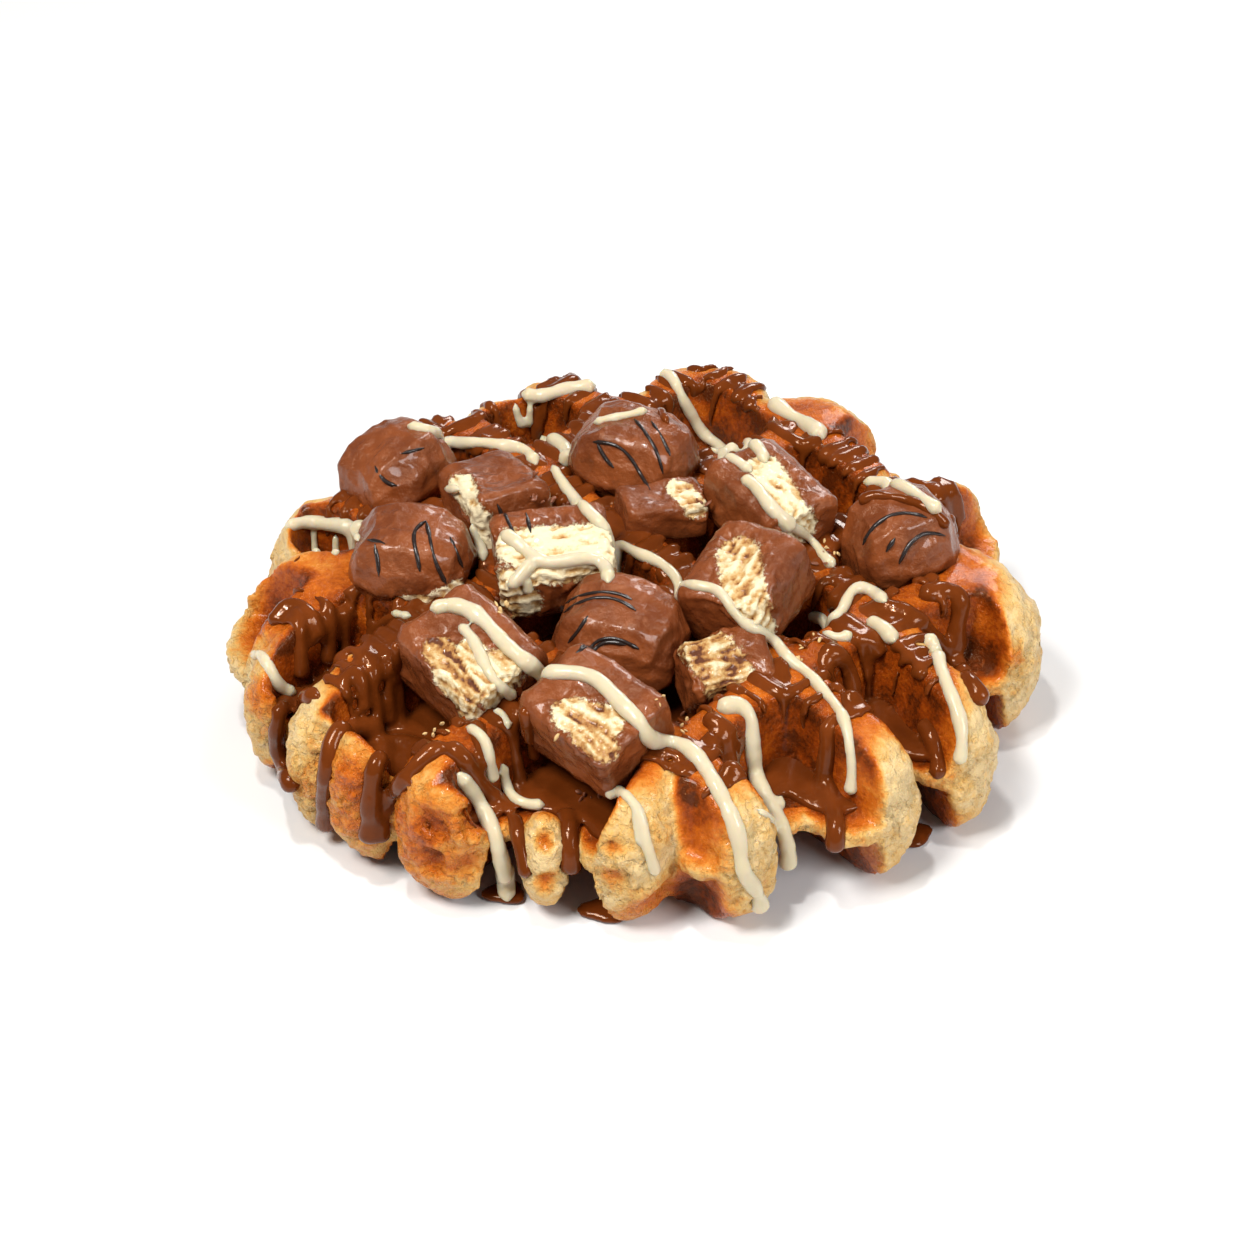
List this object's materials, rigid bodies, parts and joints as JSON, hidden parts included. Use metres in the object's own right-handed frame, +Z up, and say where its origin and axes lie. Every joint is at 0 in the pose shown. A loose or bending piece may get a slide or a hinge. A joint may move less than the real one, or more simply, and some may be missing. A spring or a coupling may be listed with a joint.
{
  "type": "liege waffle with chocolate",
  "caption": "Round thick waffle with deep square pockets and puffy uneven edge, topped with chopped chocolate-coated wafer bar and milk and white chocolate drizzle.",
  "frame": {"origin": "on the surface the waffle rests on, under the middle of the object's box", "axes": "+Z up; -Y towards the camera of the picture; +X to its right"},
  "size_m": [0.1428, 0.1351, 0.0407],
  "materials": {
    "baked_dough": "baked dough, golden brown where the iron pressed it and pale cream at the free edge, slightly glazed with caramelised sugar",
    "bar_coating": "satin chocolate coating with thin dark stripes",
    "milk_chocolate": "glossy milk chocolate sauce",
    "white_chocolate": "glossy cream-white chocolate sauce",
    "wafer": "crisp pale wafer and cream, cut and broken"
  },
  "bodies": {
    "root": {"waffle": "baked_dough", "bar_piece_01": "bar_coating", "bar_piece_02": "bar_coating", "bar_piece_03": "bar_coating", "bar_piece_04": "bar_coating", "bar_piece_05": "bar_coating", "bar_piece_06": "bar_coating", "bar_piece_07": "bar_coating", "bar_piece_08": "bar_coating", "bar_piece_09": "bar_coating", "bar_piece_10": "bar_coating", "bar_piece_11": "bar_coating", "bar_piece_12": "bar_coating", "bar_piece_13": "bar_coating"}
  },
  "joints": []
}
